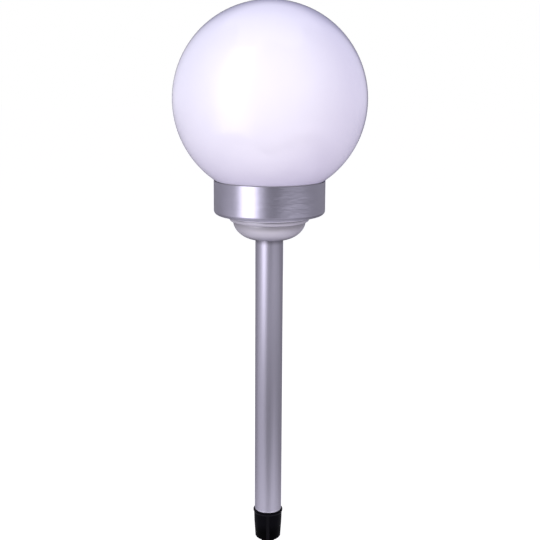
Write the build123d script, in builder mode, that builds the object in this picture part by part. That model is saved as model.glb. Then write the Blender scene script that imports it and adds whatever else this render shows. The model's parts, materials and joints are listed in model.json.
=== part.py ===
from build123d import *
import os
from math import acos, degrees, sqrt

# Solar path light: an opal globe on a steel-banded lamp base, a steel pole and a ground spike.
# Millimetres, +Z up. The origin is the middle of the collar's underside, at the soil line.

# Ground spike
collar_height = 33.1
lip_diameter = 32.3
lip_height = 1.8
lip_slope = 1.9
lip_edge_radius = 0.6
collar_top_diameter = 30.7
collar_waist_diameter = 30.2
collar_waist_height = 19.5
collar_waist_radius = 60.0
collar_foot_diameter = 27.6
collar_edge_radius = 1.2
rib_width = 3.4
rib_proud = 0.4
plug_length = 28.0
plug_wall = 2.4
plug_lead_in = 1.5
plug_clearance = 0.1
blade_length = 150.0
blade_point_length = 48.0
blade_rim_gap = 4.4
blade_taper = 0.8
blade_thickness = 3.4
blade_turn = 45.0
tip_reach = 1.4
tip_thickness = 1.4

# Pole
pole_diameter = 29.3
pole_wall = 0.8
pole_edge_radius = 0.5
pole_exposed = 304.8

# Pole holder: a stepped cup with the pole's socket in its middle
shoulder_diameter = 97.2
shoulder_height = 2.0
shoulder_draft = 0.8
shoulder_edge_radius = 0.8
step_diameter = 84.0
step_height = 5.6
step_edge_radius = 3.6
bowl_diameter = 76.0
bowl_height = 18.7
bowl_fullness = 0.49
holder_wall = 2.2
mouth_lip = 1.3
socket_wall = 2.2
socket_headroom = 3.5
socket_clearance = 0.1
holder_rib_thickness = 1.8
holder_rib_count = 6
register_width = 4.0
register_clearance = 0.2

# Steel band
band_diameter = 116.2
band_height = 35.3
band_wall = 0.6
band_corner_radius = 4.5
band_globe_gap = 1.0

# Globe
globe_diameter = 200.0
globe_wall = 2.0
neck_wall = 2.6
neck_tail = 4.0
lug_count = 3
lug_span = 22.0
lug_reach = 2.6
lug_height = 3.2
twist_angle = 30.0

# Lamp base
base_fit = 0.25
base_wall = 2.2
base_corner_clearance = 0.5
floor_thickness = 2.5
ledge_thickness = 3.0
ledge_globe_gap = 2.2
ledge_neck_gap = 0.5
lug_clearance = 0.3
lug_wall_gap = 1.5
notch_margin = 1.5
stop_span = 2.5
stop_margin = 0.6
seal_height = 3.0
seal_overhang = 0.3
seal_edge_radius = 0.25
seat_margin = 0.3

# Battery, one AA cell lying along X with its button at +X
battery_diameter = 14.5
battery_length = 50.5
button_diameter = 5.5
button_height = 1.2
battery_edge_radius = 0.8
battery_floor_gap = 0.5
battery_fit = 0.2
saddle_spacing = 32.0
saddle_thickness = 2.0
saddle_margin = 2.0
contact_thickness = 0.4
contact_width = 9.0
contact_gap = 0.1
contact_bow = 2.4
contact_overlap = 3.0
end_wall_thickness = 2.0
end_wall_margin = 1.5
end_wall_gap = 0.1
end_wall_drop = 0.4

# Circuit board and what it carries
battery_board_gap = 0.5
board_thickness = 1.6
board_width = 10.3
board_post_gap = 0.7
led_count = 4
led_diameter = 5.0
led_flange_diameter = 5.8
led_flange_height = 1.0
led_height = 8.6
led_hole_clearance = 0.15
chip_length = 5.0
chip_width = 4.0
chip_height = 1.5
chip_angle = 247.5
chip_pin_count = 4
chip_pin_pitch = 1.27
chip_pin_width = 0.45
chip_pin_height = 0.5
chip_pin_reach = 1.0
coil_diameter = 7.0
coil_height = 6.0
coil_groove = 0.8
coil_flange = 1.0
coil_angle = 292.5

# Slide switch
switch_length = 9.0
switch_width = 5.0
switch_height = 3.6
switch_offset = 12.0
switch_pocket_depth = 2.0
switch_tray_gap = 0.6
slider_length = 3.0
slider_width = 2.4
slider_rise = 2.2
slider_travel = 3.0
slider_clearance = 0.15
slider_edge = 0.4

# Tray and solar panel
tray_thickness = 2.4
tray_neck_gap = 1.3
tray_edge_radius = 0.6
tray_slot_clearance = 0.4
post_count = 4
post_diameter = 7.0
post_rim_gap = 1.2
first_post_angle = 45.0
panel_recess = 1.0
panel_fit = 0.25
panel_led_gap = 4.0
panel_board_thickness = 1.6
strip_count = 4
strip_thickness = 0.3
strip_gap = 0.6
strip_margin = 1.6
resin_margin = 0.4
resin_height = 1.1
resin_gap = 0.1
resin_edge_radius = 0.4

# The two wires from the panel to the circuit board
lead_diameter = 1.2
lead_spacing = 9.0
lead_bend = 1.7
lead_inset = 1.5
lead_slot_margin = 0.8

# Screws, drawn as plain shanks in their pilot holes. As on any standard screw, the cross's width and
# reach are shares of the head's diameter, and its depth and the head's edge are shares of its height
screw_shank_diameter = 2.8
screw_head_diameter = 5.6
screw_head_height = 2.0
screw_length = 10.0
small_shank_diameter = 2.0
small_head_diameter = 4.0
small_head_height = 1.3
small_screw_length = 5.0
screw_head_edge = 0.6
cross_width = 0.22
cross_reach = 0.32
cross_depth = 0.45
pilot_clearance = 0.05
pilot_extra_depth = 1.0
through_clearance = 0.25
boss_wall = 2.2
standoff_wall = 1.3
base_screw_count = 3
first_boss_angle = 90.0

# Radii of the pole, its holder, the band, the lamp base and the globe's neck
pole_radius = pole_diameter / 2
pole_bore_radius = pole_radius - pole_wall
plug_radius = pole_bore_radius - plug_clearance
socket_radius = pole_radius + socket_clearance
socket_outer_radius = socket_radius + socket_wall
mouth_radius = socket_radius + mouth_lip
bowl_radius = bowl_diameter / 2
bowl_bore_radius = bowl_radius - holder_wall
register_radius = bowl_bore_radius + register_width
band_hole_radius = register_radius + register_clearance
band_radius = band_diameter / 2
band_bore_radius = band_radius - band_wall
base_radius = band_bore_radius - base_fit
base_bore_radius = base_radius - base_wall
lug_radius = base_bore_radius - lug_wall_gap
neck_radius = lug_radius - lug_reach
neck_bore_radius = neck_radius - neck_wall
ledge_radius = neck_radius + ledge_neck_gap
globe_radius = globe_diameter / 2
globe_bore_radius = globe_radius - globe_wall

# Heights from the soil line up to the floor of the lamp base
lip_bottom = collar_height - lip_height
collar_top = lip_bottom - lip_slope
plug_top = collar_height + plug_length
pole_bottom = collar_height
holder_bottom = pole_bottom + pole_exposed
bowl_top = holder_bottom + bowl_height
step_top = bowl_top + step_height
holder_top = step_top + shoulder_height
pole_top = holder_top - socket_headroom - socket_wall
socket_cap_top = pole_top + socket_wall
band_bottom = holder_top
band_top = band_bottom + band_height
base_bottom = band_bottom + band_wall
floor_top = base_bottom + floor_thickness

# The ball stands clear of the band's rim all round, which sets its height; the neck hangs from it
globe_centre = band_top + sqrt(globe_radius**2 - (band_bore_radius - band_globe_gap) ** 2)
neck_top = globe_centre - sqrt(globe_radius**2 - neck_radius**2)
ledge_top = neck_top - ledge_globe_gap
ledge_bottom = ledge_top - ledge_thickness
lug_top = ledge_bottom - lug_clearance
lug_bottom = lug_top - lug_height
neck_bottom = lug_bottom - neck_tail
seal_bottom = neck_bottom - seal_height
seal_radius = neck_radius + seal_overhang
seal_bore_radius = neck_bore_radius - seal_overhang
seat_radius = seal_radius + seat_margin
seat_bore_radius = seal_bore_radius - seat_margin

# Stack on the floor: battery, circuit board, tray, panel
battery_radius = battery_diameter / 2
battery_half = battery_length / 2
battery_axis = floor_top + battery_floor_gap + battery_radius
board_bottom = battery_axis + battery_radius + battery_board_gap
board_top = board_bottom + board_thickness
tray_bottom = board_top + switch_height + switch_tray_gap
tray_top = tray_bottom + tray_thickness
panel_bottom = tray_top - panel_recess
panel_top = panel_bottom + panel_board_thickness

# Circles of the posts, the board and its lamps, worked inwards from the neck
tray_radius = neck_bore_radius - tray_neck_gap
post_radius = post_diameter / 2
post_circle = tray_radius - post_rim_gap - post_radius
board_radius = post_circle - post_radius - board_post_gap
board_bore_radius = board_radius - board_width
led_radius = led_diameter / 2
led_circle = (board_radius + board_bore_radius) / 2
panel_size = 2 * (led_circle - led_flange_diameter / 2 - panel_led_gap)
switch_x = sqrt(led_circle**2 - switch_offset**2)
switch_y = -switch_offset

# Screw holes
boss_radius = screw_shank_diameter / 2 + boss_wall
boss_circle = bowl_bore_radius - boss_radius / 2
pilot_radius = screw_shank_diameter / 2 + pilot_clearance
through_radius = screw_shank_diameter / 2 + through_clearance
small_pilot_radius = small_shank_diameter / 2 + pilot_clearance
small_through_radius = small_shank_diameter / 2 + through_clearance
standoff_radius = small_shank_diameter / 2 + standoff_wall

CENTRED_ON_FLOOR = (Align.CENTER, Align.CENTER, Align.MIN)
os.makedirs("parts", exist_ok=True)


def save(piece, name):
    """Label a finished piece and write it to its own file."""
    piece.label = name
    export_step(piece, f"parts/{name}.step")


def ring_sector(inner_radius, outer_radius, span):
    """Sketch an annular sector about the origin, centred on +X and spanning the given degrees."""
    with BuildSketch() as sector:
        with BuildLine():
            inner = CenterArc((0, 0), inner_radius, -span / 2, span)
            outer = CenterArc((0, 0), outer_radius, -span / 2, span)
            Line(inner @ 0, outer @ 0)
            Line(inner @ 1, outer @ 1)
        make_face()
    return sector.sketch


def plus_sign(reach, thickness):
    """Sketch a plus sign with four arms."""
    with BuildSketch() as plus:
        Rectangle(2 * reach, thickness)
        Rectangle(thickness, 2 * reach)
    return plus.sketch


def upright_plane(x, y, z):
    """Plane through a point, facing -Y, whose own Y runs up: for profiles turned about that point."""
    return Plane(origin=(x, y, z), x_dir=(1, 0, 0), z_dir=(0, -1, 0))


def collar_section(inset):
    """Sketch half the collar's section below its lip, drawn in by the inset: two tapers, a round foot."""
    with BuildSketch() as section:
        with BuildLine():
            outline = FilletPolyline(
                (0, 0),
                (collar_foot_diameter / 2 - inset, 0),
                (collar_waist_diameter / 2 - inset, collar_waist_height),
                (collar_top_diameter / 2 - inset, collar_top),
                radius=[collar_edge_radius, collar_waist_radius],
            )
            Polyline(outline @ 1, (0, collar_top), outline @ 0)
        make_face()
    return section.sketch


# Four ribs that run up the collar: a plus sign trimmed to the collar's outline
with BuildPart() as collar_ribs:
    with BuildSketch(Plane.XZ):
        add(collar_section(0))
    revolve(axis=Axis.Z)
    with BuildSketch():
        add(plus_sign(collar_top_diameter / 2, rib_width))
    extrude(amount=collar_top, mode=Mode.INTERSECT)

# Ground spike: lip, ribbed collar, hollow plug for the pole and a four-finned blade
blade_reach = collar_foot_diameter / 2 - collar_edge_radius - blade_rim_gap
with BuildPart() as ground_spike:
    with BuildSketch(Plane.XZ):
        add(collar_section(rib_proud))
        with BuildLine():
            outline = FilletPolyline(
                (0, collar_top),
                (collar_top_diameter / 2, collar_top),
                (lip_diameter / 2, lip_bottom),
                (lip_diameter / 2, collar_height),
                (plug_radius, collar_height),
                radius=[0, lip_edge_radius, lip_edge_radius],
            )
            Polyline(
                outline @ 1,
                (plug_radius, plug_top - plug_lead_in),
                (plug_radius - plug_lead_in / 2, plug_top),
                (plug_radius - plug_wall, plug_top),
                (plug_radius - plug_wall, collar_height),
                (0, collar_height),
                outline @ 0,
            )
        make_face()
    revolve(axis=Axis.Z)
    add(collar_ribs.part)
    # Webs stiffen the plug from inside
    with BuildSketch(Plane.XY.offset(collar_height)):
        add(plus_sign(plug_radius - plug_wall, plug_wall))
    extrude(amount=plug_length - plug_lead_in)
    # The fins stand between the ribs, narrow a little on their way down and run out to a point
    with BuildSketch(Plane.XY.rotated((0, 0, blade_turn))):
        add(plus_sign(blade_reach, blade_thickness))
    with BuildSketch(Plane.XY.offset(blade_point_length - blade_length).rotated((0, 0, blade_turn))):
        add(plus_sign(blade_reach - blade_taper, blade_thickness))
    with BuildSketch(Plane.XY.offset(-blade_length).rotated((0, 0, blade_turn))):
        add(plus_sign(tip_reach, tip_thickness))
    loft(ruled=True)
save(ground_spike.part, "ground_spike")

# Pole: one steel tube from the spike's lip to the end of the socket, its lower edge rounded
with BuildPart() as pole_tube:
    with BuildSketch(Plane.XY.offset(pole_bottom)):
        Circle(pole_radius)
        Circle(pole_bore_radius, mode=Mode.SUBTRACT)
    extrude(amount=pole_top - pole_bottom)
    fillet(edges().group_by(Axis.Z)[0].sort_by(SortBy.RADIUS)[-1], pole_edge_radius)
save(pole_tube.part, "pole_tube")

# Hollow of the pole holder, less the ribs and bosses that stand in it
inner_bowl_bottom = holder_bottom + holder_wall
inner_bowl_run = bowl_bore_radius - socket_outer_radius
inner_bowl_rise = bowl_top - inner_bowl_bottom
with BuildPart() as holder_hollow:
    with BuildSketch(Plane.XZ):
        with BuildLine():
            Polyline(
                (bowl_bore_radius, bowl_top),
                (bowl_bore_radius, base_bottom),
                (0, base_bottom),
                (0, socket_cap_top),
                (socket_outer_radius, socket_cap_top),
                (socket_outer_radius, inner_bowl_bottom),
            )
            Bezier(
                (socket_outer_radius, inner_bowl_bottom),
                (socket_outer_radius + bowl_fullness * inner_bowl_run, inner_bowl_bottom),
                (bowl_bore_radius, bowl_top - bowl_fullness * inner_bowl_rise),
                (bowl_bore_radius, bowl_top),
            )
        make_face()
    revolve(axis=Axis.Z)
    with BuildSketch(Plane.XY.offset(holder_bottom)):
        with PolarLocations(0, holder_rib_count):
            Rectangle(bowl_radius, holder_rib_thickness, align=(Align.MIN, Align.CENTER))
    extrude(amount=socket_cap_top - holder_bottom, mode=Mode.SUBTRACT)
    with BuildSketch(Plane.XY.offset(holder_bottom)):
        with PolarLocations(boss_circle, base_screw_count, first_boss_angle):
            Circle(boss_radius)
    extrude(amount=base_bottom - holder_bottom, mode=Mode.SUBTRACT)

# Pole holder: shoulder under the band, step, bowl, and the register that centres the band's hole
bowl_run = bowl_radius - mouth_radius
with BuildPart() as pole_holder:
    with BuildSketch(Plane.XZ):
        with BuildLine():
            Bezier(
                (mouth_radius, holder_bottom),
                (mouth_radius + bowl_fullness * bowl_run, holder_bottom),
                (bowl_radius, bowl_top - bowl_fullness * bowl_height),
                (bowl_radius, bowl_top),
            )
            FilletPolyline(
                (bowl_radius, bowl_top),
                (step_diameter / 2, bowl_top),
                (step_diameter / 2, step_top),
                (shoulder_diameter / 2 - shoulder_draft, step_top),
                (shoulder_diameter / 2, holder_top),
                (register_radius, holder_top),
                (register_radius, base_bottom),
                (0, base_bottom),
                (0, holder_bottom),
                (mouth_radius, holder_bottom),
                radius=[step_edge_radius, 0, shoulder_edge_radius, 0, 0, 0, 0, 0],
            )
        make_face()
    revolve(axis=Axis.Z)
    add(holder_hollow.part, mode=Mode.SUBTRACT)
    with BuildSketch(Plane.XY.offset(holder_bottom)):
        Circle(socket_radius)
    extrude(amount=pole_top - holder_bottom, mode=Mode.SUBTRACT)
    with Locations((0, 0, base_bottom)):
        with PolarLocations(boss_circle, base_screw_count, first_boss_angle):
            Hole(pilot_radius, screw_length - floor_thickness + pilot_extra_depth)
save(pole_holder.part, "pole_holder")

# Steel band: a drawn cup with a hole in its floor, clamped between the holder and the lamp base
with BuildPart() as steel_band:
    with BuildSketch(Plane.XZ):
        with BuildLine():
            outside = FilletPolyline(
                (band_hole_radius, band_bottom),
                (band_radius, band_bottom),
                (band_radius, band_top),
                radius=band_corner_radius,
            )
            inside = FilletPolyline(
                (band_hole_radius, base_bottom),
                (band_bore_radius, base_bottom),
                (band_bore_radius, band_top),
                radius=band_corner_radius - band_wall,
            )
            Line(outside @ 0, inside @ 0)
            Line(outside @ 1, inside @ 1)
        make_face()
    revolve(axis=Axis.Z)
save(steel_band.part, "steel_band")

# Lamp base: floor, outer wall with the twist-lock ledge, seat of the seal, posts and battery bay
base_corner_radius = band_corner_radius - band_wall + base_corner_clearance
plus_contact_face = battery_half + contact_gap
minus_contact_face = battery_half + contact_gap + contact_bow
end_wall_width = contact_width + 2 * end_wall_margin
end_wall_top = board_bottom - contact_thickness - end_wall_drop
lock_stop_angle = -(lug_span / 2 + stop_margin + stop_span / 2)
open_stop_angle = twist_angle - lock_stop_angle
with BuildPart() as lamp_base:
    with BuildSketch(Plane.XZ):
        with BuildLine():
            outside = FilletPolyline(
                (0, base_bottom),
                (base_radius, base_bottom),
                (base_radius, ledge_top),
                radius=base_corner_radius,
            )
            Polyline(
                outside @ 1,
                (ledge_radius, ledge_top),
                (ledge_radius, ledge_bottom),
                (base_bore_radius, ledge_bottom),
                (base_bore_radius, floor_top),
                (seat_radius, floor_top),
                (seat_radius, seal_bottom),
                (seat_bore_radius, seal_bottom),
                (seat_bore_radius, floor_top),
                (0, floor_top),
                outside @ 0,
            )
        make_face()
    revolve(axis=Axis.Z)
    # Notches that let the globe's lugs through the ledge
    with BuildSketch(Plane.XY.offset(ledge_bottom)):
        with PolarLocations(0, lug_count, twist_angle):
            add(ring_sector(neck_radius, lug_radius + ledge_neck_gap, lug_span + 2 * notch_margin))
    extrude(amount=ledge_thickness, mode=Mode.SUBTRACT)
    # Stops at both ends of each lug's travel
    for stop_angle in (lock_stop_angle, open_stop_angle):
        with BuildSketch(Plane.XY.offset(lug_bottom)):
            with PolarLocations(0, lug_count, stop_angle):
                add(ring_sector(ledge_radius, base_radius - base_wall / 2, stop_span))
        extrude(amount=ledge_bottom - lug_bottom)
    # Posts for the tray
    with BuildSketch(Plane.XY.offset(floor_top)):
        with PolarLocations(post_circle, post_count, first_post_angle):
            Circle(post_radius)
    extrude(amount=tray_bottom - floor_top)
    with Locations((0, 0, tray_bottom)):
        with PolarLocations(post_circle, post_count, first_post_angle):
            Hole(pilot_radius, screw_length - tray_thickness + pilot_extra_depth)
    # Saddles under the battery
    for saddle_x in (-saddle_spacing / 2, saddle_spacing / 2):
        with BuildSketch(Plane.YZ.offset(saddle_x - saddle_thickness / 2)):
            with Locations((0, floor_top)):
                Rectangle(
                    battery_diameter + 2 * saddle_margin,
                    battery_axis - floor_top,
                    align=(Align.CENTER, Align.MIN),
                )
            with Locations((0, battery_axis)):
                Circle(battery_radius + battery_fit, mode=Mode.SUBTRACT)
        extrude(amount=saddle_thickness)
    # Walls behind the two contacts
    plus_wall_x = plus_contact_face + contact_thickness + end_wall_gap + end_wall_thickness / 2
    minus_wall_x = -(minus_contact_face + contact_thickness + end_wall_gap + end_wall_thickness / 2)
    with BuildSketch(Plane.XY.offset(floor_top)):
        with Locations((plus_wall_x, 0), (minus_wall_x, 0)):
            Rectangle(end_wall_thickness, end_wall_width)
    extrude(amount=end_wall_top - floor_top)
    # Clearance holes of the screws that go down into the pole holder
    with Locations((0, 0, floor_top)):
        with PolarLocations(boss_circle, base_screw_count, first_boss_angle):
            Hole(through_radius, floor_thickness)
save(lamp_base.part, "lamp_base")

# Seal: a rubber ring on its seat, under the end of the neck
with BuildPart() as neck_seal:
    with BuildSketch(Plane.XZ):
        with Locations(((seal_radius + seal_bore_radius) / 2, (seal_bottom + neck_bottom) / 2)):
            RectangleRounded(seal_radius - seal_bore_radius, seal_height, seal_edge_radius)
    revolve(axis=Axis.Z)
save(neck_seal.part, "neck_seal")

# Globe: a thin ball that runs into a short neck with three lugs
neck_angle = degrees(acos(neck_radius / globe_radius))
bore_angle = degrees(acos(neck_bore_radius / globe_bore_radius))
with BuildPart() as globe_shade:
    with BuildSketch(Plane.XZ):
        with BuildLine():
            outer_arc = CenterArc((0, globe_centre), globe_radius, 90, -(90 + neck_angle))
            inner_arc = CenterArc((0, globe_centre), globe_bore_radius, 90, -(90 + bore_angle))
            Polyline(
                outer_arc @ 1,
                (neck_radius, neck_bottom),
                (neck_bore_radius, neck_bottom),
                inner_arc @ 1,
            )
            Line(outer_arc @ 0, inner_arc @ 0)
        make_face()
    revolve(axis=Axis.Z)
    with BuildSketch(Plane.XY.offset(lug_bottom)):
        with PolarLocations(0, lug_count):
            add(ring_sector(neck_radius - neck_wall / 2, lug_radius, lug_span))
    extrude(amount=lug_height)
save(globe_shade.part, "globe_shade")

# Battery: a rounded can with its button at +X
with BuildPart() as battery:
    with BuildSketch(Plane.XZ):
        with BuildLine():
            can = FilletPolyline(
                (-battery_half, battery_axis),
                (-battery_half, battery_axis + battery_radius),
                (battery_half - button_height, battery_axis + battery_radius),
                (battery_half - button_height, battery_axis + button_diameter / 2),
                radius=battery_edge_radius,
            )
            Polyline(
                can @ 1,
                (battery_half, battery_axis + button_diameter / 2),
                (battery_half, battery_axis),
                can @ 0,
            )
        make_face()
    revolve(axis=Axis((0, 0, battery_axis), (1, 0, 0)))
save(battery.part, "battery")

# Contacts: bent strips that stand on the floor and are soldered under the circuit board
half_strip = contact_thickness / 2
tab_height = board_bottom - half_strip
tab_end = board_bore_radius + contact_overlap
with BuildPart() as battery_contact_plus:
    with BuildSketch(Plane.XZ):
        with BuildLine():
            Polyline(
                (plus_contact_face + half_strip, floor_top),
                (plus_contact_face + half_strip, tab_height),
                (tab_end, tab_height),
            )
        trace(line_width=contact_thickness)
    extrude(amount=contact_width / 2, both=True)
save(battery_contact_plus.part, "battery_contact_plus")

with BuildPart() as battery_contact_minus:
    with BuildSketch(Plane.XZ):
        with BuildLine():
            strip_x = -(minus_contact_face + half_strip)
            bow_low = battery_axis - battery_radius / 2
            bow_high = battery_axis + battery_radius / 2
            Line((strip_x, floor_top), (strip_x, bow_low))
            ThreePointArc((strip_x, bow_low), (strip_x + contact_bow, battery_axis), (strip_x, bow_high))
            Line((strip_x, bow_high), (strip_x, tab_height))
            Line((strip_x, tab_height), (-tab_end, tab_height))
        trace(line_width=contact_thickness)
    extrude(amount=contact_width / 2, both=True)
save(battery_contact_minus.part, "battery_contact_minus")

# Circuit board: a ring round the lead slot, under the tray
with BuildPart() as circuit_board:
    with BuildSketch(Plane.XY.offset(board_bottom)):
        Circle(board_radius)
        Circle(board_bore_radius, mode=Mode.SUBTRACT)
        with PolarLocations(led_circle, post_count, first_post_angle):
            Circle(small_through_radius, mode=Mode.SUBTRACT)
    extrude(amount=board_thickness)
save(circuit_board.part, "circuit_board")

# Lamps: round-topped LEDs that stand on the board and look out through the tray
for number, place in enumerate(PolarLocations(led_circle, led_count), start=1):
    led_x = place.position.X
    led_y = place.position.Y
    with BuildPart() as led:
        with BuildSketch(upright_plane(led_x, led_y, board_top)):
            with BuildLine():
                Polyline(
                    (0, led_height),
                    (0, 0),
                    (led_flange_diameter / 2, 0),
                    (led_flange_diameter / 2, led_flange_height),
                    (led_radius, led_flange_height),
                    (led_radius, led_height - led_radius),
                )
                CenterArc((0, led_height - led_radius), led_radius, 0, 90)
            make_face()
        revolve(axis=Axis((led_x, led_y, 0), (0, 0, 1)))
    save(led.part, f"led_{number}")

# Driver chip: a flat body with two rows of pins, under the board
chip_plane = Plane.XY.offset(board_bottom).rotated((0, 0, chip_angle))
with BuildPart(chip_plane) as driver_chip:
    with Locations((led_circle, 0, 0)):
        Box(chip_width, chip_length, chip_height, align=(Align.CENTER, Align.CENTER, Align.MAX))
        with GridLocations(0, chip_pin_pitch, 1, chip_pin_count):
            Box(
                chip_width + 2 * chip_pin_reach,
                chip_pin_width,
                chip_pin_height,
                align=(Align.CENTER, Align.CENTER, Align.MAX),
            )
save(driver_chip.part, "driver_chip")

# Inductor: a small wound bobbin, under the board
coil_place = Plane.XY.rotated((0, 0, coil_angle)).from_local_coords((led_circle, 0, 0))
with BuildPart() as inductor_coil:
    with BuildSketch(upright_plane(coil_place.X, coil_place.Y, board_bottom)):
        with BuildLine():
            Polyline(
                (0, 0),
                (coil_diameter / 2, 0),
                (coil_diameter / 2, -coil_flange),
                (coil_diameter / 2 - coil_groove, -coil_flange),
                (coil_diameter / 2 - coil_groove, coil_flange - coil_height),
                (coil_diameter / 2, coil_flange - coil_height),
                (coil_diameter / 2, -coil_height),
                (0, -coil_height),
                close=True,
            )
        make_face()
    revolve(axis=Axis((coil_place.X, coil_place.Y, 0), (0, 0, 1)))
save(inductor_coil.part, "inductor_coil")

# Slide switch: a body with a pocket, and a slider that rests at the pocket's -Y end
pocket_width = slider_width + 2 * slider_clearance
pocket_length = slider_length + slider_travel + 2 * slider_clearance
switch_top = board_top + switch_height
pocket_floor = switch_top - switch_pocket_depth
with BuildPart() as switch_body:
    with Locations((switch_x, switch_y, board_top)):
        Box(switch_width, switch_length, switch_height, align=CENTRED_ON_FLOOR)
    with Locations((switch_x, switch_y, pocket_floor)):
        Box(pocket_width, pocket_length, switch_pocket_depth, align=CENTRED_ON_FLOOR, mode=Mode.SUBTRACT)
save(switch_body.part, "switch_body")

slider_bottom = pocket_floor + slider_clearance
slider_height = tray_top + slider_rise - slider_bottom
with BuildPart() as switch_slider:
    with Locations((switch_x, switch_y - slider_travel / 2, slider_bottom)):
        Box(slider_width, slider_length, slider_height, align=CENTRED_ON_FLOOR)
    chamfer(faces().sort_by(Axis.Z)[-1].edges(), slider_edge)
save(switch_slider.part, "switch_slider")

# Tray: a disc with a recess for the panel, and openings for the lamps, switch, screws and wires
with BuildPart() as solar_tray:
    with BuildSketch(Plane.XY.offset(tray_bottom)):
        Circle(tray_radius)
    extrude(amount=tray_thickness)
    fillet(edges().filter_by(GeomType.CIRCLE).group_by(Axis.Z)[-1], tray_edge_radius)
    with BuildSketch(Plane.XY.offset(tray_top)):
        Rectangle(panel_size + 2 * panel_fit, panel_size + 2 * panel_fit)
    extrude(amount=-panel_recess, mode=Mode.SUBTRACT)
    # Standoffs that hold the circuit board
    with BuildSketch(Plane.XY.offset(tray_bottom)):
        with PolarLocations(led_circle, post_count, first_post_angle):
            Circle(standoff_radius)
            Circle(small_pilot_radius, mode=Mode.SUBTRACT)
    extrude(amount=board_top - tray_bottom)
    with BuildSketch(Plane.XY.offset(tray_bottom)):
        with PolarLocations(led_circle, led_count):
            Circle(led_radius + led_hole_clearance)
        with PolarLocations(post_circle, post_count, first_post_angle):
            Circle(through_radius)
        with Locations((switch_x, switch_y)):
            Rectangle(pocket_width + tray_slot_clearance, pocket_length + tray_slot_clearance)
        Rectangle(
            lead_spacing + lead_diameter + 2 * lead_slot_margin,
            lead_diameter + 2 * lead_slot_margin,
        )
    extrude(amount=tray_thickness, mode=Mode.SUBTRACT)
save(solar_tray.part, "solar_tray")

# Solar panel: backing board, four silicon strips and the clear resin over them
strip_field = panel_size - 2 * strip_margin
strip_width = (strip_field + strip_gap) / strip_count - strip_gap
with BuildPart() as panel_board:
    with BuildSketch(Plane.XY.offset(panel_bottom)):
        Rectangle(panel_size, panel_size)
    extrude(amount=panel_board_thickness)
save(panel_board.part, "panel_board")

with BuildPart() as solar_cells:
    with BuildSketch(Plane.XY.offset(panel_top)):
        with GridLocations(strip_width + strip_gap, 0, strip_count, 1):
            Rectangle(strip_width, strip_field)
    extrude(amount=strip_thickness)
save(solar_cells.part, "solar_cells")

resin_size = panel_size - 2 * resin_margin
resin_pocket = strip_field + 2 * resin_gap
with BuildPart() as panel_resin:
    with BuildSketch(Plane.XY.offset(panel_top)):
        Rectangle(resin_size, resin_size)
    extrude(amount=resin_height)
    fillet(faces().sort_by(Axis.Z)[-1].edges(), resin_edge_radius)
    with BuildSketch(Plane.XY.offset(panel_top)):
        Rectangle(resin_pocket, resin_pocket)
    extrude(amount=strip_thickness + resin_gap, mode=Mode.SUBTRACT)
save(panel_resin.part, "panel_resin")

# Wires: down from the panel, along under the tray and down to the inner rim of the board
lead_level = (board_top + tray_bottom) / 2
lead_end = board_bore_radius + lead_inset
with BuildPart() as solar_leads:
    for lead_x in (-lead_spacing / 2, lead_spacing / 2):
        with BuildLine() as route:
            FilletPolyline(
                (lead_x, 0, panel_bottom),
                (lead_x, 0, lead_level),
                (lead_x, lead_end, lead_level),
                (lead_x, lead_end, board_top),
                radius=lead_bend,
            )
        with BuildSketch(Plane(origin=route.line @ 0, z_dir=route.line % 0)):
            Circle(lead_diameter / 2)
        sweep()
save(solar_leads.part, "solar_leads")


def pan_head_screw(plane, head_diameter, head_height, shank_diameter, length):
    """Screw with a rounded cross head on the plane and its shank along the plane's -Z."""
    with BuildPart(plane) as screw:
        Cylinder(head_diameter / 2, head_height, align=CENTRED_ON_FLOOR)
        head_axis = Axis(plane.origin, plane.z_dir)
        fillet(edges().group_by(head_axis)[-1], screw_head_edge * head_height)
        with BuildSketch(plane.offset(head_height)):
            add(plus_sign(cross_reach * head_diameter, cross_width * head_diameter))
        extrude(amount=-cross_depth * head_height, mode=Mode.SUBTRACT)
        Cylinder(shank_diameter / 2, length, align=(Align.CENTER, Align.CENTER, Align.MAX))
    return screw.part


# Screws that clamp the band: down through the floor into the pole holder's bosses
with BuildPart() as base_screws:
    for place in PolarLocations(boss_circle, base_screw_count, first_boss_angle):
        seat = Plane(origin=(place.position.X, place.position.Y, floor_top))
        add(
            pan_head_screw(
                seat, screw_head_diameter, screw_head_height, screw_shank_diameter, screw_length
            )
        )
save(base_screws.part, "base_screws")

# Screws of the tray: down into the posts
with BuildPart() as tray_screws:
    for place in PolarLocations(post_circle, post_count, first_post_angle):
        seat = Plane(origin=(place.position.X, place.position.Y, tray_top))
        add(
            pan_head_screw(
                seat, screw_head_diameter, screw_head_height, screw_shank_diameter, screw_length
            )
        )
save(tray_screws.part, "tray_screws")

# Screws of the circuit board: up into the tray's standoffs
with BuildPart() as board_screws:
    for place in PolarLocations(led_circle, post_count, first_post_angle):
        seat = Plane(origin=(place.position.X, place.position.Y, board_bottom), z_dir=(0, 0, -1))
        add(
            pan_head_screw(
                seat, small_head_diameter, small_head_height, small_shank_diameter, small_screw_length
            )
        )
save(board_screws.part, "board_screws")
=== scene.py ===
# %% [markdown]
# A solar path light: an opal ball on a steel-banded lamp base, a steel pole and a black ground spike.
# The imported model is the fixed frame. Its solids already have the real shapes, so this lesson gives them
# their finishes and builds the studio around them. All is in metres, +Z up, with the soil line at zero.

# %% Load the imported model
import json
from math import cos, pi, radians, sin

import bpy
import numpy as np
from mathutils import Matrix, Vector


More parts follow.
